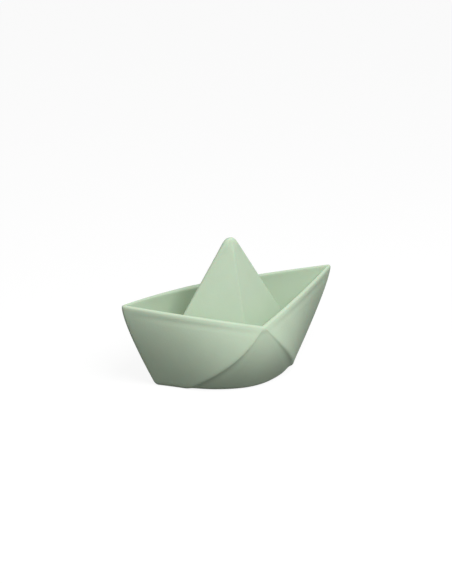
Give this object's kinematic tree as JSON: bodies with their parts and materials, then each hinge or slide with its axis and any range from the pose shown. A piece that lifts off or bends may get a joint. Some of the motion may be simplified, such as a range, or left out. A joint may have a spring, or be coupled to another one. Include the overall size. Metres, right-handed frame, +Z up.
{
  "type": "moulded rubber toy boat in folded-paper form",
  "caption": "Small floating bath toy shaped like a folded paper boat: pointed hull with raised tips, open well and a four-sided peak in the middle.",
  "frame": {"origin": "on the ground under the middle of the boat", "axes": "+X towards one tip, +Y across the boat, +Z up"},
  "size_m": [0.14, 0.0794, 0.0814],
  "materials": {
    "mint_rubber": "matte moulded natural rubber"
  },
  "bodies": {
    "root": {"boat": "mint_rubber"}
  },
  "joints": []
}
